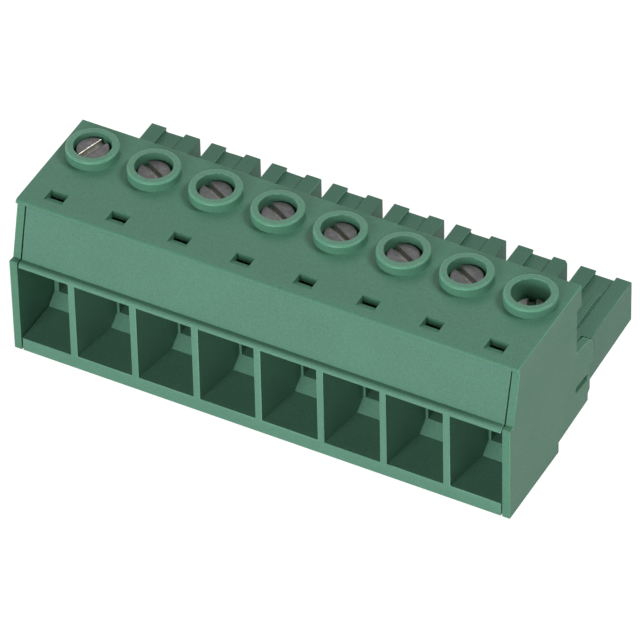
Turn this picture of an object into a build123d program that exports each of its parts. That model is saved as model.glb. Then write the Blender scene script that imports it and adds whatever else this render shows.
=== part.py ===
from build123d import *
import os

# Pluggable screw terminal block. X runs along the poles, Y from the wire side to the plug
# side, Z up. Pieces are drawn with the wire side at Y 0 and written out centred on Y.

# Size of the block
poles = 8
pitch = 7.62
length = 29.5
roof_level = 19.9
seam = 0.15
seat_gap = 0.05

# Cover: roof, skirt and end walls
end_wall = 0.95
roof_plate = 1.0
roof_nose = 0.5
roof_setback = 1.95
roof_depth = 15.05
nose_reach = 0.55
skirt_wall = 1.05
skirt_drop = 2.85
nose_round = 0.42
ledge_level = 12.6
ledge_depth = 0.82
ledge_round = 0.2
wall_step_back = 11.7
wall_step_rise = 1.43
wall_tail_back = 18.76
wall_tail_rise = 1.87
wall_hook_back = 19.2
wall_hook_low = 2.8
wall_hook_rise = 0.4
tongue_back = 20.1
tongue_low = 6.6
tongue_height = 3.0
wall_notch_level = 10.95

# Collars round the screws
screw_line = 12.45
collar_width = 6.0
collar_bore = 4.3
collar_height = 1.2
collar_bevel = 0.15

# Probe openings in the roof
probe_line = 4.3
probe_length = 2.2
probe_width = 1.8
probe_ramp_run = 1.1
probe_ramp_drop = 0.6

# Snap lug of the base in its window in each end wall
lug_line = 17.2
lug_level = 5.5
lug_tilt = -5
window_length = 3.0
window_height = 0.8
lug_reach = 0.7
lug_play = 0.1

# Front of the base: slanted panel, rail and wire openings
panel_wall = 1.0
rail_height = 0.62
rail_round = 0.42
rail_groove = 0.35
lip_height = 1.75
partition = 0.8
funnel_depth = 7.3
funnel_straight = 0.5
throat_width = 4.9
ceiling_depth = 4.3
ceiling_low = 8.0
mouth_width = 4.3
mouth_sill = 2.95
mouth_height = 3.3
mouth_ramp = 1.45

# Lightening pockets behind the slanted panel
pocket_width = 4.4
pocket_wall = 1.0
probe_slot_low = 9.6
probe_slot_height = 2.4

# Clamp cage and its chamber
cage_width = 5.2
cage_depth = 5.4
cage_side = 0.5
cage_plate = 1.0
cage_nut = 1.8
cage_window = 7.45
cage_fold = 0.6
tooth_height = 0.18
cage_play = 0.1
wire_smallest = 0.6

# Clamping screw
thread = 3.0
thread_lead = 0.5
thread_play = 0.05
head_width = 3.7
head_height = 1.9
slot_width = 0.75
slot_depth = 0.6
shank_length = 8.9

# How far each screw stands raised from its clamping place, and where its slot points
raised_by = [2.0, 1.65, 1.65, 1.65, 1.65, 1.65, 1.65, 0.0]
slot_angle = [73.6, 151.0, 151.5, 151.8, 151.2, 152.2, 151.4, 117.0]

# Contact: current bar and spring fork
bar_level = 6.8
bar_plate = 1.0
bar_width = 3.9
bar_seat = 1.0
fork_plate = 0.5
fork_height = 2.5
fork_root = 2.2
fork_pinch = 1.5
fork_mouth = 2.2
fork_pinch_back = 27.0
fork_end_back = 28.1

# Plug fingers
shoulder_back = 18.75
finger_root = 19.4
plug_top = 10.4
plug_low = 4.42
plug_rise = 0.57
finger_width = 6.15
finger_shift = 0.695
channel_width = 2.4
channel_depth = 0.6
channel_undercut = 0.13
rib_line = 0.3
rib_width = 0.7
rib_height = 0.18
rib_back = 26.9
rib_slope = 0.6
cut_corner_finger = 7
cut_corner = 0.4
tunnel_width = 3.4
tunnel_height = 3.35
tunnel_level = 5.75
finger_wall = 1.0
pin_window = 2.0
pin_lead_in = 0.5

# Sizes worked out from the ones above
width = poles * pitch
inner_face = width / 2 - end_wall
base_side = inner_face - seam
roof_back = roof_setback + roof_depth
roof_under = roof_level - roof_plate
panel_line = roof_setback + nose_reach
panel_top = roof_level - roof_nose
base_back = roof_back - skirt_wall - seat_gap
opening_top = ledge_level - rail_height
ramp_foot = funnel_depth - mouth_ramp
chamber_width = cage_width + 2 * cage_play
chamber_depth = cage_depth + 2 * cage_play
chamber_front = screw_line - chamber_depth / 2
chamber_back = screw_line + chamber_depth / 2
cage_low = mouth_sill - cage_plate
cage_height = cage_plate + cage_window + cage_nut
cage_lift = bar_level - mouth_sill - wire_smallest
boss_low = cage_low + cage_height + cage_lift + 2 * cage_play
tip_clamped = bar_level + bar_plate + seat_gap
pin_level = tunnel_level + tunnel_height / 2
plug_tip_low = plug_low + plug_rise


def pole_line(pole):
    """X of the middle of a pole, counted from 0 at the left."""
    return (pole - (poles - 1) / 2) * pitch


def side_plate(outline, low, high):
    """A plate with its outline in Y and Z, from X low to X high."""
    return Pos(low, 0, 0) * extrude(Plane.YZ * outline, amount=high - low)


def block(x_low, x_high, y_low, y_high, z_low, z_high):
    """A plain block between six limits."""
    centre = Pos((x_low + x_high) / 2, (y_low + y_high) / 2, (z_low + z_high) / 2)
    return centre * Box(x_high - x_low, y_high - y_low, z_high - z_low)


def panel_front(level):
    """Y of the slanted panel's outer face at a height."""
    slope = (panel_line - ledge_depth) / (panel_top - ledge_level)
    return ledge_depth + slope * (level - ledge_level)


# Housing cover

def end_wall_outline():
    """Outline of an end wall in Y and Z, rounded at the ledge."""
    corners = [
        (0, 0),
        (wall_step_back, 0),
        (wall_step_back, wall_step_rise),
        (wall_tail_back, wall_tail_rise),
        (wall_tail_back, wall_hook_low),
        (wall_hook_back, wall_hook_low + wall_hook_rise),
        (wall_hook_back, tongue_low),
        (tongue_back, tongue_low),
        (tongue_back, tongue_low + tongue_height),
        (wall_hook_back, plug_top),
        (base_back, wall_notch_level),
        (base_back, roof_level - skirt_drop),
        (roof_back, roof_level - skirt_drop),
        (roof_back, roof_level),
        (panel_line, roof_level),
        (panel_line, panel_top),
        (ledge_depth, ledge_level),
        (0, ledge_level),
    ]
    wall = make_face(Polyline(*corners, close=True))
    ledge = wall.vertices().sort_by_distance((0, ledge_level))[0]
    return fillet(ledge, ledge_round)


def roof_outline():
    """Outline of the roof with its thin nose in front and its skirt at the back."""
    corners = [
        (roof_setback, panel_top),
        (panel_line + panel_wall, panel_top),
        (panel_line + panel_wall, roof_under),
        (roof_back - skirt_wall, roof_under),
        (roof_back - skirt_wall, roof_level - skirt_drop),
        (roof_back, roof_level - skirt_drop),
        (roof_back, roof_level),
        (roof_setback, roof_level),
    ]
    roof = make_face(Polyline(*corners, close=True))
    nose = roof.vertices().sort_by_distance((roof_setback, roof_level))[0]
    return fillet(nose, nose_round)


def collar_post():
    """A collar before boring, with its foot on the roof and its rim bevelled."""
    post = Cylinder(collar_width / 2, collar_height, align=(Align.CENTER, Align.CENTER, Align.MIN))
    return chamfer(post.edges().group_by(Axis.Z)[-1], collar_bevel)


def probe_cut():
    """A probe opening, with a ramp at its front edge that leads the probe in."""
    front = probe_line - probe_width / 2
    back = probe_line + probe_width / 2
    corners = [
        (front, roof_level),
        (front + probe_ramp_run, roof_level - probe_ramp_drop),
        (front + probe_ramp_run, roof_under),
        (back, roof_under),
        (back, roof_level),
    ]
    outline = make_face(Polyline(*corners, close=True))
    return side_plate(outline, -probe_length / 2, probe_length / 2)


def window_outline():
    """Outline of the snap window in an end wall, in Y and Z."""
    return Pos(lug_line, lug_level) * Rot(0, 0, lug_tilt) * SlotOverall(window_length, window_height)


def guide_boss(pole):
    """The block under a collar that closes its clamp chamber and guides the screw head."""
    half = chamber_width / 2 - seat_gap
    low = -inner_face if pole == 0 else pole_line(pole) - half
    high = inner_face if pole == poles - 1 else pole_line(pole) + half
    front = chamber_front + seat_gap
    back = chamber_back - seat_gap
    return block(low, high, front, back, boss_low, roof_under)


def housing_cover():
    """Roof with collars, skirt and end walls, moulded in one."""
    cover = side_plate(roof_outline(), -width / 2, width / 2)
    wall = end_wall_outline() - window_outline()
    cover += side_plate(wall, -width / 2, -inner_face)
    cover += side_plate(wall, inner_face, width / 2)
    cover += [guide_boss(pole) for pole in range(poles)]
    post = collar_post()
    cover += [Pos(pole_line(pole), screw_line, roof_level) * post for pole in range(poles)]
    depth = roof_level + collar_height - boss_low
    bore = Cylinder(collar_bore / 2, depth, align=(Align.CENTER, Align.CENTER, Align.MIN))
    cover -= [Pos(pole_line(pole), screw_line, boss_low) * bore for pole in range(poles)]
    probe = probe_cut()
    cover -= [Pos(pole_line(pole), 0, 0) * probe for pole in range(poles)]
    return cover


# Base housing

def base_outline():
    """Outline of the base in Y and Z, without the plug fingers."""
    groove = ledge_level + rail_groove
    corners = [
        (0, 0),
        (shoulder_back, 0),
        (shoulder_back, plug_low),
        (finger_root, plug_low),
        (finger_root, plug_top),
        (base_back, plug_top),
        (base_back, roof_under),
        (panel_line + panel_wall - seat_gap, roof_under),
        (panel_line + panel_wall - seat_gap, panel_top),
        (panel_line, panel_top),
        (panel_front(groove), groove),
        (ledge_depth, ledge_level),
        (0, ledge_level),
    ]
    outline = make_face(Polyline(*corners, close=True))
    rail = outline.vertices().sort_by_distance((0, ledge_level))[0]
    return fillet(rail, rail_round)


def funnel_side_view():
    """The wire funnel in Y and Z: level floor, ramp to the sill, upright back, sloping ceiling."""
    return make_face(Polyline(
        (-1, lip_height),
        (ramp_foot, lip_height),
        (funnel_depth, mouth_sill),
        (funnel_depth, ceiling_low),
        (ceiling_depth, opening_top),
        (-1, opening_top),
        close=True,
    ))


def funnel_side(sign, is_open):
    """One side of the funnel in plan, from the front to the back."""
    edge = sign * (pitch - partition) / 2
    throat = sign * throat_width / 2
    if is_open:
        return [(sign * pitch / 2, -1), (sign * pitch / 2, funnel_depth)]
    return [(edge, -1), (edge, funnel_straight), (throat, ramp_foot), (throat, funnel_depth)]


def funnel_plan(left_open, right_open):
    """The funnel in plan. A side at an end wall has no partition and runs straight."""
    left = funnel_side(-1, left_open)
    right = funnel_side(1, right_open)
    return make_face(Polyline(*left, *reversed(right), close=True))


def funnel_cut(pole):
    """Space that leads a wire from the front of the block to the clamp's mouth."""
    side = side_plate(funnel_side_view(), -pitch / 2, pitch / 2)
    plan = funnel_plan(pole == 0, pole == poles - 1)
    return side & extrude(plan, amount=opening_top)


def mouth_cut():
    """Way from the funnel into the clamp, over its sill."""
    half = mouth_width / 2
    top = mouth_sill + mouth_height
    return block(-half, half, funnel_depth, chamber_front, mouth_sill, top)


def pocket_cut():
    """Lightening pocket under a probe opening, with a slot through to the clamp cage."""
    wall = pocket_wall
    ceiling = opening_top + wall
    back = chamber_front - wall
    corners = [
        (panel_line + panel_wall, roof_under),
        (panel_front(ceiling) + panel_wall, ceiling),
        (ceiling_depth + wall / 2, ceiling),
        (funnel_depth + wall, ceiling_low + wall),
        (back, ceiling_low + wall),
        (back, roof_under),
    ]
    outline = make_face(Polyline(*corners, close=True))
    pocket = side_plate(outline, -pocket_width / 2, pocket_width / 2)
    half = probe_length / 2
    slot_top = probe_slot_low + probe_slot_height
    return pocket + block(-half, half, back, chamber_front, probe_slot_low, slot_top)


def chamber_cut(pole):
    """The clamp chamber, open at the top, and at the end wall for the first and last pole."""
    half = chamber_width / 2
    low = -pitch / 2 if pole == 0 else -half
    high = pitch / 2 if pole == poles - 1 else half
    floor = cage_low - cage_play
    return block(low, high, chamber_front, chamber_back, floor, roof_under)


def bar_seat_cut():
    """Slot in front of the chamber that holds the front end of the current bar."""
    half = bar_width / 2 + seat_gap
    front = chamber_front - bar_seat - seat_gap
    low = bar_level - seat_gap
    high = bar_level + bar_plate + seat_gap
    return block(-half, half, front, chamber_front, low, high)


def tunnel_cut():
    """Tunnel for the contact's fork, and the pin window in the end of the finger."""
    half = tunnel_width / 2
    end = length - finger_wall
    top = tunnel_level + tunnel_height
    tunnel = block(-half, half, chamber_back, end, tunnel_level, top)
    wide = pin_window + 2 * pin_lead_in
    face = Plane((0, length, pin_level), z_dir=(0, -1, 0))
    way = extrude(face * Rectangle(pin_window, pin_window), amount=finger_wall)
    lead_in = extrude(face * Rectangle(wide, wide), amount=pin_lead_in, taper=45)
    return Pos(finger_shift, 0, 0) * (tunnel + way + lead_in)


def plug_finger():
    """One plug finger, with its drafted underside."""
    corners = [
        (finger_root - 1, plug_low),
        (finger_root, plug_low),
        (length, plug_tip_low),
        (length, plug_top),
        (finger_root - 1, plug_top),
    ]
    outline = make_face(Polyline(*corners, close=True))
    half = finger_width / 2
    return side_plate(outline, finger_shift - half, finger_shift + half)


def channel_cut():
    """The undercut coding channel along the top of a finger, with a low rib on its floor."""
    half = channel_width / 2
    foot = half + channel_undercut
    floor = plug_top - channel_depth
    outline = Polyline((-half, plug_top), (half, plug_top), (foot, floor), (-foot, floor), close=True)
    channel = Pos(0, length, 0) * extrude(Plane.XZ * make_face(outline), amount=length - base_back)
    rib_outline = make_face(Polyline(
        (base_back, floor),
        (rib_back, floor),
        (rib_back - rib_slope, floor + rib_height),
        (base_back, floor + rib_height),
        close=True,
    ))
    rib = side_plate(rib_outline, rib_line - rib_width / 2, rib_line + rib_width / 2)
    return Pos(finger_shift, 0, 0) * (channel - rib)


def corner_cut():
    """Wedge off the rear right corner of the one finger that has it cut."""
    right = pole_line(cut_corner_finger - 1) + finger_shift + finger_width / 2
    wedge = make_face(Polyline(
        (right - cut_corner, length),
        (right, length - cut_corner),
        (right, length),
        close=True,
    ))
    return Pos(0, 0, plug_low) * extrude(wedge, amount=plug_top - plug_low)


def snap_lug():
    """Lug on the side of the base that snaps into the window of an end wall."""
    outline = Rectangle(window_length - window_height, window_height - 2 * lug_play)
    placed = Pos(lug_line, lug_level) * Rot(0, 0, lug_tilt) * outline
    return side_plate(placed, base_side, base_side + lug_reach)


def base_housing():
    """Front grid, clamp chambers and plug fingers, moulded in one."""
    base = side_plate(base_outline(), -base_side, base_side)
    finger = plug_finger()
    base += [Pos(pole_line(pole), 0, 0) * finger for pole in range(poles)]
    wall_space = offset(end_wall_outline(), seat_gap)
    base -= side_plate(wall_space, base_side, width / 2 + seam)
    base -= side_plate(wall_space, -width / 2 - seam, -base_side)
    lug = snap_lug()
    base += [lug, lug.mirror(Plane.YZ)]
    repeated = mouth_cut() + pocket_cut() + bar_seat_cut() + tunnel_cut() + channel_cut()
    for pole in range(poles):
        cut = repeated + chamber_cut(pole) + funnel_cut(pole)
        base -= Pos(pole_line(pole), 0, 0) * cut
    return base - corner_cut()


# Clamps and contacts

def clamp_cage():
    """Rising cage: a band folded under a threaded plate, with three teeth under the wire."""
    band = Pos(0, cage_low + cage_height / 2) * Rectangle(cage_width, cage_height)
    band = fillet(band.vertices().group_by(Axis.Y)[0], cage_fold)
    window_low = cage_low + cage_plate
    inner_width = cage_width - 2 * cage_side
    hole = Pos(0, window_low + cage_window / 2) * Rectangle(inner_width, cage_window)
    cage = extrude(Plane.XZ * (band - hole), amount=cage_depth / 2, both=True)
    tooth = make_face(Polyline(
        (-tooth_height, window_low),
        (tooth_height, window_low),
        (0, window_low + tooth_height),
        close=True,
    ))
    ridge = side_plate(tooth, -inner_width / 2, inner_width / 2)
    cage += [Pos(0, step * cage_depth / 4, 0) * ridge for step in (-1, 0, 1)]
    nut_low = cage_low + cage_plate + cage_window
    bore = Cylinder(thread / 2, cage_nut, align=(Align.CENTER, Align.CENTER, Align.MIN))
    cage -= Pos(0, 0, nut_low) * bore
    return Pos(0, screw_line, 0) * cage


def clamp_screw(pole):
    """Slotted screw with a plain shank in place of the thread."""
    radius = thread / 2 - thread_play
    tip = tip_clamped + raised_by[pole]
    under_head = tip + shank_length
    top = under_head + head_height
    half = head_width / 2
    profile = make_face(Polyline(
        (0, tip),
        (radius, tip),
        (radius, under_head),
        (half, under_head),
        (half, top),
        (0, top),
        close=True,
    ))
    screw = revolve(Plane.XZ * profile, Axis.Z)
    slot = Box(head_width, slot_width, slot_depth, align=(Align.CENTER, Align.CENTER, Align.MAX))
    screw -= Pos(0, 0, top) * Rot(0, 0, slot_angle[pole]) * slot
    return Pos(0, screw_line, 0) * screw


def fork_arm():
    """One spring arm of the fork in plan, on the right of its pin."""
    half = fork_plate / 2
    root = fork_root / 2
    pinch = fork_pinch / 2
    mouth = fork_mouth / 2
    return make_face(Polyline(
        (root - half, chamber_back),
        (root + half, chamber_back),
        (root + half, shoulder_back),
        (pinch + half, fork_pinch_back),
        (mouth + half, fork_end_back),
        (mouth - half, fork_end_back),
        (pinch - half, fork_pinch_back),
        (root - half, shoulder_back),
        close=True,
    ))


def contact():
    """Current bar through the cage, ending in a two-armed fork round the header's pin."""
    half = bar_width / 2
    front = chamber_front - bar_seat
    neck = (fork_root + fork_plate) / 2
    bar = make_face(Polyline(
        (-half, front),
        (half, front),
        (half, chamber_back - seat_gap - cage_play),
        (finger_shift + neck, chamber_back),
        (finger_shift + neck, shoulder_back),
        (finger_shift - neck, shoulder_back),
        (finger_shift - neck, chamber_back),
        (-half, chamber_back - seat_gap - cage_play),
        close=True,
    ))
    plate = Pos(0, 0, bar_level) * extrude(bar, amount=bar_plate)
    arm = extrude(fork_arm(), amount=fork_height)
    fork = Pos(finger_shift, 0, pin_level - fork_height / 2) * (arm + arm.mirror(Plane.YZ))
    return plate + fork


def pieces():
    """Every piece with its node name."""
    named = {"housing_cover": housing_cover(), "base_housing": base_housing()}
    cage = clamp_cage()
    bar = contact()
    for pole in range(poles):
        place = Pos(pole_line(pole), 0, 0)
        named[f"clamp_screw_{pole + 1}"] = place * clamp_screw(pole)
        named[f"clamp_cage_{pole + 1}"] = place * cage
        named[f"contact_{pole + 1}"] = place * bar
    return named


os.makedirs("parts", exist_ok=True)
for name, solid in pieces().items():
    export_step(Pos(0, -length / 2, 0) * solid, f"parts/{name}.step")
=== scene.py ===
import math

import bpy
from bpy.props import FloatProperty, FloatVectorProperty, PointerProperty
from mathutils import Matrix, Vector


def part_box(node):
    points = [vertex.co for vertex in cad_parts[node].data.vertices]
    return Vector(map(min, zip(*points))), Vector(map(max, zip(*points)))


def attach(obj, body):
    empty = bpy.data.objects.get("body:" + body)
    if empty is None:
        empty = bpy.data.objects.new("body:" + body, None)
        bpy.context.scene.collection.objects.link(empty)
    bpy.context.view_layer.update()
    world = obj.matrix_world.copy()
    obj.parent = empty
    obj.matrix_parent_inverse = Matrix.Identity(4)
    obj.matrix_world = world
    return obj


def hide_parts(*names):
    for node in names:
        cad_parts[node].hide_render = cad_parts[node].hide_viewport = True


bl_info = {
    "name": "Pluggable Terminal Block",
    "version": (1, 0, 0),
    "blender": (4, 5, 0),
    "location": "3D View > Sidebar > Terminal Block",
    "description": "Dresses the eight pole screw terminal plug and sets it on a white table",
    "category": "Object",
}

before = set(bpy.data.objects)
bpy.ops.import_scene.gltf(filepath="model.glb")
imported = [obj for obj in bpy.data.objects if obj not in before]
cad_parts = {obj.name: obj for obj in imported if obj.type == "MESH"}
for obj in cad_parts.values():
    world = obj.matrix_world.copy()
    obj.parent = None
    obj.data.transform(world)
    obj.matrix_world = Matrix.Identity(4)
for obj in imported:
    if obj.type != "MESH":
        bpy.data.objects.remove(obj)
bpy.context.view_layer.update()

MM = 0.001

# The block in metres, with its front at -Y and the poles in a row along X
POLES = 8
PITCH = 7.62 * MM
HALF_WIDTH = POLES / 2 * PITCH
HALF_DEPTH = 14.75 * MM
ROOF_LEVEL = 19.9 * MM
COLLAR_RADIUS = 3.0 * MM
SCREW_LINE = 12.45 * MM - HALF_DEPTH
PROBE_LINE = 4.3 * MM - HALF_DEPTH
PROBE_REACH = 1.6 * MM
FUNNEL_DEPTH = 6.2 * MM
FINGER_LENGTH = 12.5 * MM
FINGER_SHIFT = 0.695 * MM
CHANNEL_REACH = 1.75 * MM
CHANNEL_TOP = 9.2 * MM

# The screws, counted from 0 at the left. Slot angles are in degrees from X
HEAD_RADIUS = 1.85 * MM
HEAD_HEIGHT = 1.9 * MM
THREAD_RADIUS = 1.45 * MM
TIP_CHAMFER = 0.25 * MM
THREAD_STEPS = 28
# How far from the slot's edges the painted glint reaches
GLINT_REACH = 0.14 * MM
SLOT_ANGLES = (73.6, 151.0, 151.5, 151.8, 151.2, 152.2, 151.4, 112.0)
# Screws whose slot edges get a painted glint
GLINTING_SLOTS = (0, 7)
# The screw driven in sits deep in its bore, and its head gets a lighter zinc as painted light
DRIVEN_IN = 7

# How edges are found and rounded
SMOOTH_ANGLE = math.radians(28)
LEAST_TURN = 24
SHORT_EDGE = 0.05 * MM
SHORT_SHEET_EDGE = 0.3 * MM
CAGE_ROUNDING = 0.08 * MM
CONTACT_ROUNDING = 0.05 * MM

# Places of a moulding's and of a screw's materials after the first one. On a moulding the edge skin is a
# painted highlight on the rounded edges, and the light skin is painted light on the collar tops and the
# front faces
EDGE_HIGHLIGHT_SKIN, PAINTED_LIGHT_SKIN = 1, 2
# On a screw the second material is the milled slot, partly painted light, and the third is a painted glint
# on the slot's edges
MILLED_AND_LIT_STEEL, GLINT_STEEL = 1, 2

# How fine the marks on a metal are along X, Y and Z
TURNED_MARKS = (4000.0, 5000.0, 9000.0)
MILLED_MARKS = (600.0, 9000.0, 9000.0)
ROLLED_MARKS = (9000.0, 1200.0, 9000.0)

# Each lamp: name, degrees round from the front towards the right, degrees up, size in metres
LAMPS = (
    ("front_lamp", 0, 20, 0.5),
    ("low_front_lamp", 0, 4, 0.4),
    ("right_lamp", 115, 52, 0.25),
    ("left_lamp", -90, 12, 0.4),
    ("rear_left_lamp", -150, 45, 0.4),
)
LAMP_POWERS = (3.0, 3.7, 2.7, 1.4, 0.8)
LAMP_DISTANCE = 0.7
LAMP_AIM = Vector((0, 0, 0.01))
ROOM_LIGHT = 0.0

# The table lies a hair under the block, so that the block's underside is free when seen from below
TABLE_SIZE = 6
TABLE_DROP = 0.02 * MM

# The camera that was fitted to the photo: place in metres, turn in degrees, lens and sensor in mm
CAMERA_PLACE = (0.28113200, -0.51350918, 0.53207114)
CAMERA_TURN = (47.96342736, 0.99948838, 27.81643535)
CAMERA_LENS = 405.563
CAMERA_SENSOR = 36.0
CAMERA_RANGE = (0.01, 20.0)


def pole_line(pole):
    """X of the middle of a pole, counted from 0 at the left."""
    return (pole - (POLES - 1) / 2) * PITCH


def nearest_pole(x):
    """X measured from the middle of the nearest pole."""
    pole = min(range(POLES), key=lambda p: abs(x - pole_line(p)))
    return x - pole_line(pole)


# Working on objects and meshes

def select_only(piece):
    """Makes a piece the only selected and the active object."""
    bpy.ops.object.select_all(action="DESELECT")
    piece.select_set(True)
    bpy.context.view_layer.objects.active = piece


def start_edit():
    """Opens the active object for editing its faces, with nothing selected."""
    bpy.ops.object.mode_set(mode="EDIT")
    bpy.ops.mesh.select_mode(type="FACE")
    bpy.ops.mesh.select_all(action="DESELECT")


def end_edit():
    """Closes the object that is being edited."""
    bpy.ops.object.mode_set(mode="OBJECT")


def select_faces(piece, test):
    """Selects the faces of the edited piece whose centre and normal pass a test."""
    bpy.ops.object.mode_set(mode="OBJECT")
    for face in piece.data.polygons:
        face.select = test(face.center, face.normal)
    bpy.ops.object.mode_set(mode="EDIT")


def add_modifier(piece, kind, **settings):
    """Adds a modifier with its settings and applies it."""
    select_only(piece)
    modifier = piece.modifiers.new(kind.title(), kind)
    for name, value in settings.items():
        setattr(modifier, name, value)
    bpy.ops.object.modifier_apply(modifier=modifier.name)


def set_place(piece):
    """Puts a piece's place, turn and size into its mesh."""
    select_only(piece)
    bpy.ops.object.transform_apply(location=True, rotation=True, scale=True)


def copy_of_node(node_name, piece_name):
    """A copy of a solid's mesh with its triangles joined into whole faces."""
    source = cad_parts[node_name]
    piece = bpy.data.objects.new(piece_name, source.data.copy())
    bpy.context.scene.collection.objects.link(piece)
    piece.data.name = piece_name
    piece.data.materials.clear()
    select_only(piece)
    if piece.data.has_custom_normals:
        bpy.ops.mesh.customdata_custom_splitnormals_clear()
    start_edit()
    bpy.ops.mesh.select_all(action="SELECT")
    bpy.ops.mesh.remove_doubles(threshold=1e-6)
    bpy.ops.mesh.dissolve_limited(angle_limit=math.radians(0.5))
    end_edit()
    bpy.ops.object.shade_smooth_by_angle(angle=SMOOTH_ANGLE)
    return piece


def edge_angles(mesh):
    """For each edge how many degrees it turns outward (0 where it is hollow), its middle and its length."""
    sides = {}
    for face in mesh.polygons:
        for key in face.edge_keys:
            sides.setdefault(key, []).append(face)
    found = []
    for edge in mesh.edges:
        a, b = (mesh.vertices[i].co for i in edge.vertices)
        middle = (a + b) / 2
        angle = 0
        pair = sides.get(edge.key, [])
        if len(pair) == 2:
            one, other = pair
            inward = (b - a).cross(one.normal)
            if inward.dot(one.center - middle) < 0:
                inward = -inward
            hollow = other.normal.dot(inward) > 0
            angle = 0 if hollow else math.degrees(one.normal.angle(other.normal, 0))
        found.append((angle, middle, (a - b).length))
    return found


def round_edges(piece, width, weight_of, segments=2, material=-1):
    """Rounds the outer edges, each by its own weight. At -1 the rounding takes its faces' material."""
    weights = piece.data.attributes.new("bevel_weight_edge", "FLOAT", "EDGE")
    for index, (angle, middle, length) in enumerate(edge_angles(piece.data)):
        weights.data[index].value = weight_of(middle, length) if angle > LEAST_TURN else 0
    add_modifier(piece, "BEVEL", width=width, segments=segments, limit_method="WEIGHT",
                 use_clamp_overlap=False, harden_normals=True, miter_outer="MITER_SHARP", material=material)


# Materials

def add_node(tree, kind, settings=None, **inputs):
    """A new shader node. An input is a value, or another node's output to link.

    An input is named with _ for each space, or by _ and its number.
    """
    made = tree.nodes.new(kind)
    for name, value in (settings or {}).items():
        setattr(made, name, value)
    for name, value in inputs.items():
        socket = made.inputs[int(name[1:]) if name[0] == "_" else name.replace("_", " ")]
        if isinstance(value, bpy.types.NodeSocket):
            tree.links.new(value, socket)
        else:
            socket.default_value = value
    return made


SURFACE_OUTPUTS = (("Colour", "NodeSocketColor"), ("Roughness", "NodeSocketFloat"),
                   ("Height", "NodeSocketFloat"))


def new_group(name, inputs):
    """A shader node group that puts out a surface's colour, roughness and height, and its two end nodes."""
    group = bpy.data.node_groups.new(name, "ShaderNodeTree")
    for socket_name, kind, value in inputs:
        group.interface.new_socket(socket_name, in_out="INPUT", socket_type=kind).default_value = value
    for socket_name, kind in SURFACE_OUTPUTS:
        group.interface.new_socket(socket_name, in_out="OUTPUT", socket_type=kind)
    return group, group.nodes.new("NodeGroupInput"), group.nodes.new("NodeGroupOutput")


def math_node(tree, operation, *values, clamp=False):
    """Result of a math node on values or outputs."""
    inputs = {f"_{index}": value for index, value in enumerate(values)}
    made = add_node(tree, "ShaderNodeMath", {"operation": operation, "use_clamp": clamp}, **inputs)
    return made.outputs[0]


def around_middle(tree, value, spread):
    """An output that lies round 0.5, moved to lie round 0 and spread out."""
    return math_node(tree, "MULTIPLY", math_node(tree, "SUBTRACT", value, 0.5), spread)


def moulded_skin_group():
    """Uneven colour, gloss and fine eroded texture of a moulded plastic surface."""
    inputs = (("Colour", "NodeSocketColor", (0.1, 0.2, 0.15, 1)),
              ("Cloudiness", "NodeSocketFloat", 0.06),
              ("Speckle", "NodeSocketFloat", 0.04),
              ("Gloss spread", "NodeSocketFloat", 0.06),
              ("Roughness", "NodeSocketFloat", 0.45))
    group, start, end = new_group("moulded_skin", inputs)
    place = add_node(group, "ShaderNodeTexCoord").outputs["Object"]
    clouds = add_node(group, "ShaderNodeTexNoise", Vector=place, Scale=140.0, Detail=3.0, Roughness=0.55)
    flow = add_node(group, "ShaderNodeMapping", Vector=place, Scale=(60.0, 260.0, 260.0))
    streaks = add_node(group, "ShaderNodeTexNoise", Vector=flow.outputs[0], Scale=1.0, Detail=2.0)
    texture = add_node(group, "ShaderNodeTexNoise", Vector=place, Scale=5000.0, Detail=2.0, Roughness=0.6)
    uneven = math_node(group, "ADD", math_node(group, "MULTIPLY", clouds.outputs[0], 0.6),
                       math_node(group, "MULTIPLY", streaks.outputs[0], 0.4))
    cloudy, speckled, spread = (math_node(group, "MULTIPLY", start.outputs[name], 4.0)
                                for name in ("Cloudiness", "Speckle", "Gloss spread"))
    shade = math_node(group, "ADD", around_middle(group, uneven, cloudy),
                      around_middle(group, texture.outputs[0], speckled))
    level = math_node(group, "ADD", 1.0, shade)
    colour = add_node(group, "ShaderNodeVectorMath", {"operation": "SCALE"},
                      _0=start.outputs["Colour"], Scale=level)
    rough = math_node(group, "ADD", start.outputs["Roughness"],
                      around_middle(group, clouds.outputs[0], spread), clamp=True)
    group.links.new(colour.outputs[0], end.inputs["Colour"])
    group.links.new(rough, end.inputs["Roughness"])
    group.links.new(texture.outputs[0], end.inputs["Height"])
    return group


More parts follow.
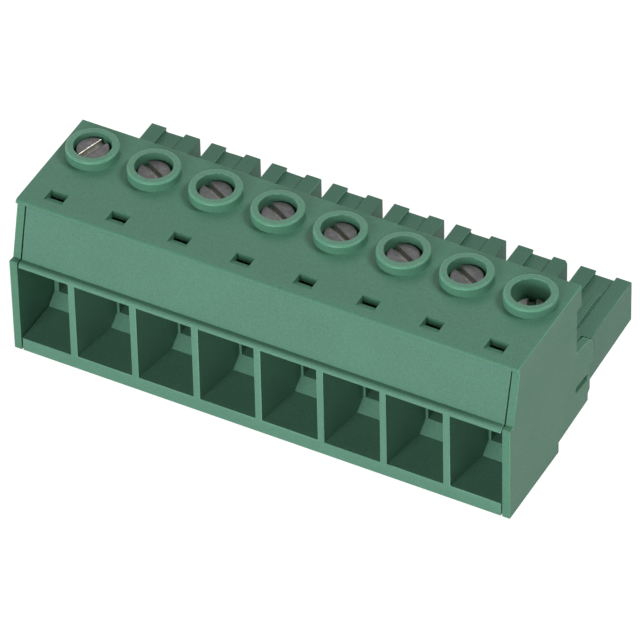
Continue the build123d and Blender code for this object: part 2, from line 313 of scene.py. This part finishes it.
def worn_metal_group():
    """Tarnish, tool marks and dull patches of plated metal."""
    inputs = (("Colour", "NodeSocketColor", (0.6, 0.6, 0.6, 1)),
              ("Tarnish", "NodeSocketColor", (0.3, 0.28, 0.28, 1)),
              ("Tarnish amount", "NodeSocketFloat", 0.5),
              ("Marks", "NodeSocketVector", (900.0, 9000.0, 9000.0)),
              ("Roughness", "NodeSocketFloat", 0.35))
    group, start, end = new_group("worn_metal", inputs)
    place = add_node(group, "ShaderNodeTexCoord").outputs["Object"]
    patches = add_node(group, "ShaderNodeTexNoise", Vector=place, Scale=1300.0, Detail=4.0, Roughness=0.6)
    drawn_out = add_node(group, "ShaderNodeVectorMath", {"operation": "MULTIPLY"},
                         _0=place, _1=start.outputs["Marks"])
    lines = add_node(group, "ShaderNodeTexNoise", Vector=drawn_out.outputs[0], Scale=1.0, Detail=3.0,
                     Roughness=0.6)
    spread = add_node(group, "ShaderNodeMapRange", Value=patches.outputs[0], From_Min=0.35, From_Max=0.68)
    amount = math_node(group, "MULTIPLY", spread.outputs[0], start.outputs["Tarnish amount"], clamp=True)
    tarnished = add_node(group, "ShaderNodeMix", {"data_type": "RGBA"}, _0=amount,
                         _6=start.outputs["Colour"], _7=start.outputs["Tarnish"])
    level = math_node(group, "ADD", 0.6, math_node(group, "MULTIPLY", lines.outputs[0], 0.8))
    colour = add_node(group, "ShaderNodeVectorMath", {"operation": "SCALE"},
                      _0=tarnished.outputs[2], Scale=level)
    rough = math_node(group, "ADD", start.outputs["Roughness"],
                      around_middle(group, patches.outputs[0], 0.4), clamp=True)
    group.links.new(colour.outputs[0], end.inputs["Colour"])
    group.links.new(rough, end.inputs["Roughness"])
    group.links.new(lines.outputs[0], end.inputs["Height"])
    return group


def new_material(name):
    """An empty material with its output node."""
    material = bpy.data.materials.new(name)
    material.use_nodes = True
    tree = material.node_tree
    tree.nodes.clear()
    return material, tree, tree.nodes.new("ShaderNodeOutputMaterial")


def surface_material(name, group, group_inputs, relief, **shader_inputs):
    """A material whose colour, roughness and slight relief come from a node group."""
    material, tree, out = new_material(name)
    surface = add_node(tree, "ShaderNodeGroup", {"node_tree": group}, **group_inputs)
    bump = add_node(tree, "ShaderNodeBump", Strength=relief, Distance=0.02 * MM,
                    Height=surface.outputs["Height"])
    shader = add_node(tree, "ShaderNodeBsdfPrincipled", Base_Color=surface.outputs["Colour"],
                      Roughness=surface.outputs["Roughness"], Normal=bump.outputs[0], **shader_inputs)
    tree.links.new(shader.outputs[0], out.inputs[0])
    return material


def moulded_material(name, colour, roughness, sheen):
    """Green moulded polyamide: satin, slightly cloudy, with the mould's fine texture."""
    group = bpy.data.node_groups.get("moulded_skin") or moulded_skin_group()
    looks = {"Colour": (*colour, 1), "Cloudiness": 0.05, "Speckle": 0.14, "Roughness": roughness}
    return surface_material(name, group, looks, relief=0.12, Specular_IOR_Level=sheen)


def metal_material(name, colour, tarnish, amount, roughness, marks, metallic=1.0):
    """Plated metal with tarnish and tool marks. A dull zinc skin is only partly metallic."""
    group = bpy.data.node_groups.get("worn_metal") or worn_metal_group()
    looks = {"Colour": (*colour, 1), "Tarnish": (*tarnish, 1), "Tarnish_amount": amount,
             "Roughness": roughness, "Marks": marks}
    return surface_material(name, group, looks, relief=0.25, Metallic=metallic)


# Settings

class HousingSettings(bpy.types.PropertyGroup):
    """Sizes and colours of the two green mouldings."""
    edge_rounding: FloatProperty(
        name="Edge rounding", description="Width of the rounding along the moulded edges",
        default=0.08 * MM, unit="LENGTH", precision=5)
    rim_rounding: FloatProperty(
        name="Rim rounding", description="Width of the rounding along the rims of the collars",
        default=0.2 * MM, unit="LENGTH", precision=5)
    cover_colour: FloatVectorProperty(
        name="Cover colour", description="Colour of the cover's plastic",
        subtype="COLOR", size=3, min=0, max=1, default=(0.074, 0.198, 0.128))
    base_colour: FloatVectorProperty(
        name="Base colour", description="Colour of the base's plastic",
        subtype="COLOR", size=3, min=0, max=1, default=(0.089, 0.207, 0.147))
    # Painted light: the front faces of the partitions and lip take a lighter copy of the base's colour
    front_painted_light: FloatProperty(
        name="Front lightness", description="How much lighter the front of the partitions and lip is",
        default=1.13, min=0.5, max=2)
    cover_sheen: FloatProperty(
        name="Cover sheen", description="How strongly the cover's plastic shines",
        default=0.2, min=0, max=1, subtype="FACTOR")
    base_sheen: FloatProperty(
        name="Base sheen", description="How strongly the base's plastic shines",
        default=0.1, min=0, max=1, subtype="FACTOR")
    roughness: FloatProperty(
        name="Roughness", description="How matt the plastic is",
        default=0.47, min=0, max=1, subtype="FACTOR")
    # Painted highlight: the rounded edges take a lighter, glossier copy of the plastic's colour
    edge_highlight: FloatProperty(
        name="Edge lightness", description="How much lighter the rounded edges are than the faces",
        default=1.5, min=0.5, max=2)
    # Painted light: the tops of the collars take a lighter copy of the cover's colour
    rim_painted_light: FloatProperty(
        name="Rim lightness", description="How much lighter the tops of the collars are than the roof",
        default=1.2, min=0.5, max=2)
    edge_roughness: FloatProperty(
        name="Edge roughness", description="How matt the rounded edges are",
        default=0.34, min=0, max=1, subtype="FACTOR")


class ClampSettings(bpy.types.PropertyGroup):
    """Sizes and colours of the screws, cages and contacts."""
    head_rounding: FloatProperty(
        name="Head rounding", description="Width of the rounding round the screw's head",
        default=0.12 * MM, unit="LENGTH", precision=5)
    slot_width: FloatProperty(
        name="Slot width", description="Width of the slot in the screw's head",
        default=0.75 * MM, unit="LENGTH", precision=5)
    slot_depth: FloatProperty(
        name="Slot depth", description="Depth of the slot in the screw's head",
        default=0.6 * MM, unit="LENGTH", precision=5)
    thread_lead: FloatProperty(
        name="Thread lead", description="How far the thread rises in one turn",
        default=0.5 * MM, unit="LENGTH", precision=5)
    thread_depth: FloatProperty(
        name="Thread depth", description="Depth of the thread's grooves",
        default=0.27 * MM, unit="LENGTH", precision=5)
    screw_colour: FloatVectorProperty(
        name="Screw colour", description="Colour of the zinc on the screws",
        subtype="COLOR", size=3, min=0, max=1, default=(0.095, 0.095, 0.095))
    zinc_sheen: FloatProperty(
        name="Zinc sheen", description="How metallic the zinc on the screws looks",
        default=0.6, min=0, max=1, subtype="FACTOR")
    # The slots' colour is partly bare milled steel and partly painted light where shade falls in the slot
    slot_colour_and_light: FloatVectorProperty(
        name="Slot colour", description="Colour of the milled slots",
        subtype="COLOR", size=3, min=0, max=1, default=(0.3, 0.3, 0.27))
    # Painted light: the screw driven deep into its bore has a lighter zinc, standing in for light on its
    # head
    lit_head_colour: FloatVectorProperty(
        name="Clean colour", description="Colour of the untarnished zinc on the screw that is driven in",
        subtype="COLOR", size=3, min=0, max=1, default=(0.42, 0.43, 0.40))
    # Painted glint: this bright steel on the slot edges stands in for a highlight
    glint_colour: FloatVectorProperty(
        name="Rubbed colour", description="Colour of the bare steel where a screwdriver rubbed the slots",
        subtype="COLOR", size=3, min=0, max=1, default=(0.5, 0.47, 0.41))
    cage_colour: FloatVectorProperty(
        name="Cage colour", description="Colour of the nickel on the cages",
        subtype="COLOR", size=3, min=0, max=1, default=(0.56, 0.53, 0.47))
    contact_colour: FloatVectorProperty(
        name="Contact colour", description="Colour of the tin on the contacts",
        subtype="COLOR", size=3, min=0, max=1, default=(0.62, 0.62, 0.60))


class StageSettings(bpy.types.PropertyGroup):
    """Strengths of the lamps and the room light."""
    lamp_powers: FloatVectorProperty(
        name="Lamps", description="Power of each lamp, in the order of the lamp list",
        size=len(LAMPS), min=0, default=LAMP_POWERS)
    room_light: FloatProperty(
        name="Room light", description="Strength of the room's even light on the block",
        default=ROOM_LIGHT, min=0)


# Pieces

def add_skins(piece, skins, colour, sheen):
    """Gives a moulding its materials: for each a name, how light it makes the colour, and its roughness.
    Lightness above 1 is painted light.
    """
    for name, lightness, roughness in skins:
        shade = [value * lightness for value in colour]
        piece.data.materials.append(moulded_material(name, shade, roughness, sheen))


def cover_edge_weight(middle, length):
    """How much an edge of the cover is rounded, from 0 to 1."""
    x, y, z = middle
    from_pole = nearest_pole(x)
    if math.hypot(from_pole, y - SCREW_LINE) < COLLAR_RADIUS + 0.2 * MM:
        return 0.45 if z > ROOF_LEVEL + 0.3 * MM else 0
    at_probe = abs(from_pole) < PROBE_REACH and abs(y - PROBE_LINE) < PROBE_REACH
    if at_probe or length < SHORT_EDGE:
        return 0
    on_roof = z > ROOF_LEVEL - 0.7 * MM
    on_end = abs(x) > HALF_WIDTH - 0.2 * MM
    at_rear = y > HALF_DEPTH - FINGER_LENGTH - 0.1 * MM
    return 0.5 if on_roof or on_end or at_rear else 0


class TERMINAL_OT_cover(bpy.types.Operator):
    """Makes the housing cover with its rounded edges and collars"""
    bl_idname = "terminal.cover"
    bl_label = "Housing Cover"

    def execute(self, context):
        sizes = context.scene.block_housing
        piece = copy_of_node("housing_cover", "cover_shell")
        skins = (("cover_green", 1, sizes.roughness),
                 ("cover_edge_highlight", sizes.edge_highlight, sizes.edge_roughness),
                 ("cover_rim_painted_light", sizes.rim_painted_light, sizes.edge_roughness))
        add_skins(piece, skins, sizes.cover_colour, sizes.cover_sheen)
        # Painted light: the collar tops take the light skin
        for face in piece.data.polygons:
            lit_collar_top = face.center.z > ROOF_LEVEL + 0.6 * MM and face.normal.z > 0.3
            if lit_collar_top:
                face.material_index = PAINTED_LIGHT_SKIN
        # The roundings take the edge skin, a painted highlight
        round_edges(piece, sizes.rim_rounding, cover_edge_weight, segments=3, material=EDGE_HIGHLIGHT_SKIN)
        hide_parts("housing_cover")
        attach(piece, "block")
        return {"FINISHED"}


def base_edge_weight(middle, length):
    """How much an edge of the base is rounded, from 0 to 1."""
    x, y, z = middle
    at_fingers = y > HALF_DEPTH - FINGER_LENGTH
    low_between_sides = abs(nearest_pole(x - FINGER_SHIFT)) < CHANNEL_REACH and z < CHANNEL_TOP
    inside_finger = at_fingers and low_between_sides and y < HALF_DEPTH - 0.2 * MM
    if inside_finger or length < SHORT_EDGE:
        return 0
    in_front = y < -HALF_DEPTH + FUNNEL_DEPTH
    underneath = z < 0.1 * MM
    return 1 if in_front or underneath or at_fingers else 0


class TERMINAL_OT_base(bpy.types.Operator):
    """Makes the base housing with its wire funnels and plug fingers"""
    bl_idname = "terminal.base"
    bl_label = "Base Housing"

    def execute(self, context):
        sizes = context.scene.block_housing
        piece = copy_of_node("base_housing", "base_shell")
        skins = (("base_green", 1, sizes.roughness),
                 ("base_edge_highlight", sizes.edge_highlight, sizes.edge_roughness),
                 ("base_front_painted_light", sizes.front_painted_light, sizes.roughness))
        add_skins(piece, skins, sizes.base_colour, sizes.base_sheen)
        # Painted light: the front faces of the partitions and lip take the light skin
        for face in piece.data.polygons:
            lit_front_face = face.center.y < -HALF_DEPTH + 0.05 * MM and face.normal.y < -0.9
            if lit_front_face:
                face.material_index = PAINTED_LIGHT_SKIN
        # The roundings take the edge skin, a painted highlight
        round_edges(piece, sizes.edge_rounding, base_edge_weight, material=EDGE_HIGHLIGHT_SKIN)
        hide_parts("base_housing")
        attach(piece, "block")
        return {"FINISHED"}


def cut_slot(head, top, half_slot, sizes):
    """Cuts the slot in a screw's head along X, and gives its faces the milled steel, lighter than the head
    partly as bare steel and partly as painted light in the slot.
    """
    bpy.ops.mesh.primitive_cube_add(size=1, location=(0, 0, top))
    cutter = bpy.context.active_object
    cutter.scale = (3 * HEAD_RADIUS, sizes.slot_width, 2 * sizes.slot_depth)
    set_place(cutter)
    add_modifier(head, "BOOLEAN", operation="DIFFERENCE", object=cutter, solver="EXACT")
    bpy.data.objects.remove(cutter)
    slack = 0.01 * MM
    for face in head.data.polygons:
        at_slot_height = top - sizes.slot_depth - slack < face.center.z < top - slack
        in_slot = at_slot_height and abs(face.center.y) < half_slot
        face.material_index = MILLED_AND_LIT_STEEL if in_slot else 0


def screw_model(low, top, sizes, materials, rubbed):
    """One screw standing on the Z axis: head with its slot, core and thread. On a screw given the glint,
    faces beside the slot take a painted glint.
    """
    core = THREAD_RADIUS - sizes.thread_depth
    under_head = top - HEAD_HEIGHT
    half_slot = 0.51 * sizes.slot_width
    bpy.ops.mesh.primitive_cylinder_add(vertices=96, radius=HEAD_RADIUS, depth=HEAD_HEIGHT,
                                        location=(0, 0, top - HEAD_HEIGHT / 2))
    head = bpy.context.active_object
    for material in materials:
        head.data.materials.append(material)
    set_place(head)
    start_edit()
    select_faces(head, lambda centre, normal: normal.z < -0.9)
    bpy.ops.mesh.inset(thickness=HEAD_RADIUS - core)
    for step in (low + TIP_CHAMFER - under_head, -TIP_CHAMFER):
        bpy.ops.mesh.extrude_region_move(TRANSFORM_OT_translate={"value": (0, 0, step)})
    bpy.ops.transform.resize(value=(0.8, 0.8, 1))
    end_edit()
    cut_slot(head, top, half_slot, sizes)
    bpy.ops.object.shade_smooth_by_angle(angle=SMOOTH_ANGLE)

    def edge_weight(middle, length):
        if middle.z < under_head - 0.1 * MM:
            return 0
        if middle.z < top - 0.02 * MM:
            return 0.4
        on_rim = math.hypot(middle.x, middle.y) > HEAD_RADIUS - 0.05 * MM
        return 1 if on_rim or rubbed else 0.4

    round_edges(head, sizes.head_rounding, edge_weight, segments=3)
    # Painted glint: on the screws listed for it, the slanted faces beside the slot take bright steel
    for face in head.data.polygons:
        beside_slot = abs(abs(face.center.y) - half_slot) < GLINT_REACH and face.center.z > top - GLINT_REACH
        slanted = abs(face.normal.y) > 0.2 and 0.1 < face.normal.z < 0.97
        if rubbed and beside_slot and slanted:
            face.material_index = GLINT_STEEL
    thread = thread_model(low + 0.3 * MM, under_head - 0.2 * MM, core,
                          sizes.thread_depth, sizes.thread_lead)
    select_only(head)
    thread.select_set(True)
    bpy.ops.object.join()
    return head


def thread_model(low, high, core, depth, lead):
    """A right hand thread's ridge, wound round a core."""
    bpy.ops.mesh.primitive_circle_add(vertices=4, radius=1, fill_type="NGON", location=(core, 0, low),
                                      rotation=(math.radians(90), 0, 0))
    ridge = bpy.context.active_object
    ridge.scale = (depth, 0.42 * lead, 1)
    set_place(ridge)
    turns = (high - low) / lead
    steps = int(THREAD_STEPS * turns)
    add_modifier(ridge, "SCREW", angle=math.radians(360 * turns), screw_offset=high - low, steps=steps,
                 render_steps=steps, use_merge_vertices=True, merge_threshold=1e-7,
                 use_normal_calculate=True)
    start_edit()
    bpy.ops.mesh.select_all(action="SELECT")
    bpy.ops.mesh.fill_holes(sides=4)
    bpy.ops.mesh.normals_make_consistent(inside=False)
    end_edit()
    return ridge


class TERMINAL_OT_screws(bpy.types.Operator):
    """Makes the eight slotted clamping screws"""
    bl_idname = "terminal.screws"
    bl_label = "Clamping Screws"

    def execute(self, context):
        sizes = context.scene.block_clamps
        dull = metal_material("screw_steel", sizes.screw_colour, tarnish=(0.06, 0.058, 0.058), amount=0.6,
                              roughness=0.5, marks=TURNED_MARKS, metallic=sizes.zinc_sheen)
        # Milled slot steel, lightened partly as painted light
        milled_and_lit = metal_material("slot_steel_and_light", sizes.slot_colour_and_light, tarnish=(0.14, 0.135, 0.12), amount=0.5,
                                roughness=0.45, marks=MILLED_MARKS, metallic=sizes.zinc_sheen)
        # Painted glint on the slot edges
        rubbed = metal_material("slot_glint_steel", sizes.glint_colour, tarnish=(0.2, 0.19, 0.17), amount=0.8,
                                roughness=0.36, marks=MILLED_MARKS)
        # Painted light: lighter zinc for the head deep in its bore
        painted_lit_head = metal_material("deep_head_painted_light", sizes.lit_head_colour, tarnish=(0.2, 0.2, 0.18), amount=0.6,
                               roughness=0.45, marks=TURNED_MARKS, metallic=sizes.zinc_sheen)
        for pole in range(POLES):
            node = f"clamp_screw_{pole + 1}"
            low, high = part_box(node)
            zinc = painted_lit_head if pole == DRIVEN_IN else dull
            piece = screw_model(low.z, high.z, sizes, (zinc, milled_and_lit, rubbed), pole in GLINTING_SLOTS)
            piece.name = f"screw_{pole + 1}"
            turn = Matrix.Rotation(math.radians(SLOT_ANGLES[pole]), 4, "Z")
            place = Matrix.Translation(((low.x + high.x) / 2, (low.y + high.y) / 2, 0))
            piece.data.transform(place @ turn)
            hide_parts(node)
            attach(piece, f"screw_{pole + 1}")
        return {"FINISHED"}


def sheet_edge_weight(middle, length):
    """How much an edge of a cage or contact is rounded: the short ones not at all."""
    return 1 if length > SHORT_SHEET_EDGE else 0


class TERMINAL_OT_cages(bpy.types.Operator):
    """Makes the eight rising clamp cages"""
    bl_idname = "terminal.cages"
    bl_label = "Clamp Cages"

    def execute(self, context):
        sizes = context.scene.block_clamps
        material = metal_material("cage_nickel", sizes.cage_colour, tarnish=(0.33, 0.30, 0.24),
                                  amount=0.4, roughness=0.3, marks=ROLLED_MARKS)
        for pole in range(POLES):
            node = f"clamp_cage_{pole + 1}"
            piece = copy_of_node(node, f"cage_{pole + 1}")
            round_edges(piece, CAGE_ROUNDING, sheet_edge_weight)
            piece.data.materials.append(material)
            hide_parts(node)
            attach(piece, f"cage_{pole + 1}")
        return {"FINISHED"}


class TERMINAL_OT_contacts(bpy.types.Operator):
    """Makes the eight contacts with their spring forks"""
    bl_idname = "terminal.contacts"
    bl_label = "Contacts"

    def execute(self, context):
        sizes = context.scene.block_clamps
        material = metal_material("contact_tin", sizes.contact_colour, tarnish=(0.42, 0.41, 0.38),
                                  amount=0.4, roughness=0.34, marks=ROLLED_MARKS)
        for pole in range(POLES):
            node = f"contact_{pole + 1}"
            piece = copy_of_node(node, f"fork_contact_{pole + 1}")
            round_edges(piece, CONTACT_ROUNDING, sheet_edge_weight)
            piece.data.materials.append(material)
            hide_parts(node)
            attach(piece, "block")
        return {"FINISHED"}


# Stage

def seen_directly(tree):
    """1 for what the camera, gloss and clear things see, and 0 for the light on the object."""
    paths = add_node(tree, "ShaderNodeLightPath").outputs
    return math_node(tree, "MAXIMUM", paths["Is Camera Ray"],
                     math_node(tree, "MAXIMUM", paths["Is Glossy Ray"], paths["Is Transmission Ray"]))


def white_table_material():
    """White table: plain white from above with the block's soft shadow, and clear from below."""
    material, tree, out = new_material("white_table")
    lit = add_node(tree, "ShaderNodeBsdfDiffuse", Color=(0.8, 0.8, 0.8, 1))
    soft = add_node(tree, "ShaderNodeBsdfDiffuse", Color=(0.2, 0.2, 0.2, 1))
    glow = add_node(tree, "ShaderNodeEmission", Color=(1, 1, 1, 1), Strength=0.93)
    shown = add_node(tree, "ShaderNodeAddShader", _0=soft.outputs[0], _1=glow.outputs[0])
    mixed = add_node(tree, "ShaderNodeMixShader", _0=seen_directly(tree), _1=lit.outputs[0],
                     _2=shown.outputs[0])
    clear = add_node(tree, "ShaderNodeBsdfTransparent")
    below = add_node(tree, "ShaderNodeNewGeometry").outputs["Backfacing"]
    whole = add_node(tree, "ShaderNodeMixShader", _0=below, _1=mixed.outputs[0], _2=clear.outputs[0])
    tree.links.new(whole.outputs[0], out.inputs[0])
    return material


def set_room(strength):
    """Even light from the room. The camera, gloss and clear things see it as white."""
    world = bpy.data.worlds.new("room")
    bpy.context.scene.world = world
    world.use_nodes = True
    tree = world.node_tree
    tree.nodes.clear()
    lit = add_node(tree, "ShaderNodeBackground", Color=(1, 1, 1, 1), Strength=strength)
    white = add_node(tree, "ShaderNodeBackground", Color=(1, 1, 1, 1), Strength=1.0)
    mixed = add_node(tree, "ShaderNodeMixShader", _0=seen_directly(tree), _1=lit.outputs[0],
                     _2=white.outputs[0])
    out = tree.nodes.new("ShaderNodeOutputWorld")
    tree.links.new(mixed.outputs[0], out.inputs[0])


def add_lamp(name, turn, rise, size, power):
    """A soft square lamp that points at the block, placed by its angles in degrees."""
    turn, rise = math.radians(turn), math.radians(rise)
    away = Vector((math.sin(turn) * math.cos(rise), -math.cos(turn) * math.cos(rise), math.sin(rise)))
    data = bpy.data.lights.new(name, "AREA")
    data.shape = "SQUARE"
    data.size = size
    data.energy = power
    lamp = bpy.data.objects.new(name, data)
    lamp.location = away * LAMP_DISTANCE
    lamp.rotation_euler = (LAMP_AIM - lamp.location).to_track_quat("-Z", "Y").to_euler()
    bpy.context.scene.collection.objects.link(lamp)


def add_camera():
    """The camera at the photo's place, with its lens."""
    data = bpy.data.cameras.new("product_camera")
    data.lens = CAMERA_LENS
    data.sensor_width = CAMERA_SENSOR
    data.clip_start, data.clip_end = CAMERA_RANGE
    camera = bpy.data.objects.new("product_camera", data)
    camera.location = CAMERA_PLACE
    camera.rotation_euler = [math.radians(turn) for turn in CAMERA_TURN]
    bpy.context.scene.collection.objects.link(camera)
    bpy.context.scene.camera = camera


class TERMINAL_OT_stage(bpy.types.Operator):
    """Makes the white table, the lamps, the room light and the camera"""
    bl_idname = "terminal.stage"
    bl_label = "Stage"

    def execute(self, context):
        levels = context.scene.block_stage
        bpy.ops.mesh.primitive_plane_add(size=TABLE_SIZE, location=(0, 0, -TABLE_DROP))
        table = context.active_object
        table.name = "table_top"
        table.data.materials.append(white_table_material())
        set_room(levels.room_light)
        for power, (name, turn, rise, size) in zip(levels.lamp_powers, LAMPS):
            add_lamp(name, turn, rise, size, power)
        add_camera()
        context.scene.view_settings.view_transform = "Standard"
        return {"FINISHED"}


class TERMINAL_PT_panel(bpy.types.Panel):
    """Lists the block's settings and the steps that make it"""
    bl_idname = "TERMINAL_PT_panel"
    bl_label = "Terminal Block"
    bl_space_type = "VIEW_3D"
    bl_region_type = "UI"
    bl_category = "Terminal Block"

    def draw(self, context):
        scene = context.scene
        for settings in (scene.block_housing, scene.block_clamps, scene.block_stage):
            column = self.layout.column(align=True)
            for name in settings.__annotations__:
                column.prop(settings, name)
        for operator in OPERATORS:
            self.layout.operator(operator.bl_idname)


OPERATORS = (TERMINAL_OT_cover, TERMINAL_OT_base, TERMINAL_OT_screws, TERMINAL_OT_cages,
             TERMINAL_OT_contacts, TERMINAL_OT_stage)
CLASSES = (HousingSettings, ClampSettings, StageSettings, *OPERATORS, TERMINAL_PT_panel)


def register():
    for kind in CLASSES:
        bpy.utils.register_class(kind)
    bpy.types.Scene.block_housing = PointerProperty(type=HousingSettings)
    bpy.types.Scene.block_clamps = PointerProperty(type=ClampSettings)
    bpy.types.Scene.block_stage = PointerProperty(type=StageSettings)


def unregister():
    del bpy.types.Scene.block_stage
    del bpy.types.Scene.block_clamps
    del bpy.types.Scene.block_housing
    for kind in reversed(CLASSES):
        bpy.utils.unregister_class(kind)


def main():
    """Makes every piece and the stage."""
    register()
    bpy.ops.terminal.cover()
    bpy.ops.terminal.base()
    bpy.ops.terminal.screws()
    bpy.ops.terminal.cages()
    bpy.ops.terminal.contacts()
    bpy.ops.terminal.stage()


if __name__ == "__main__":
    main()
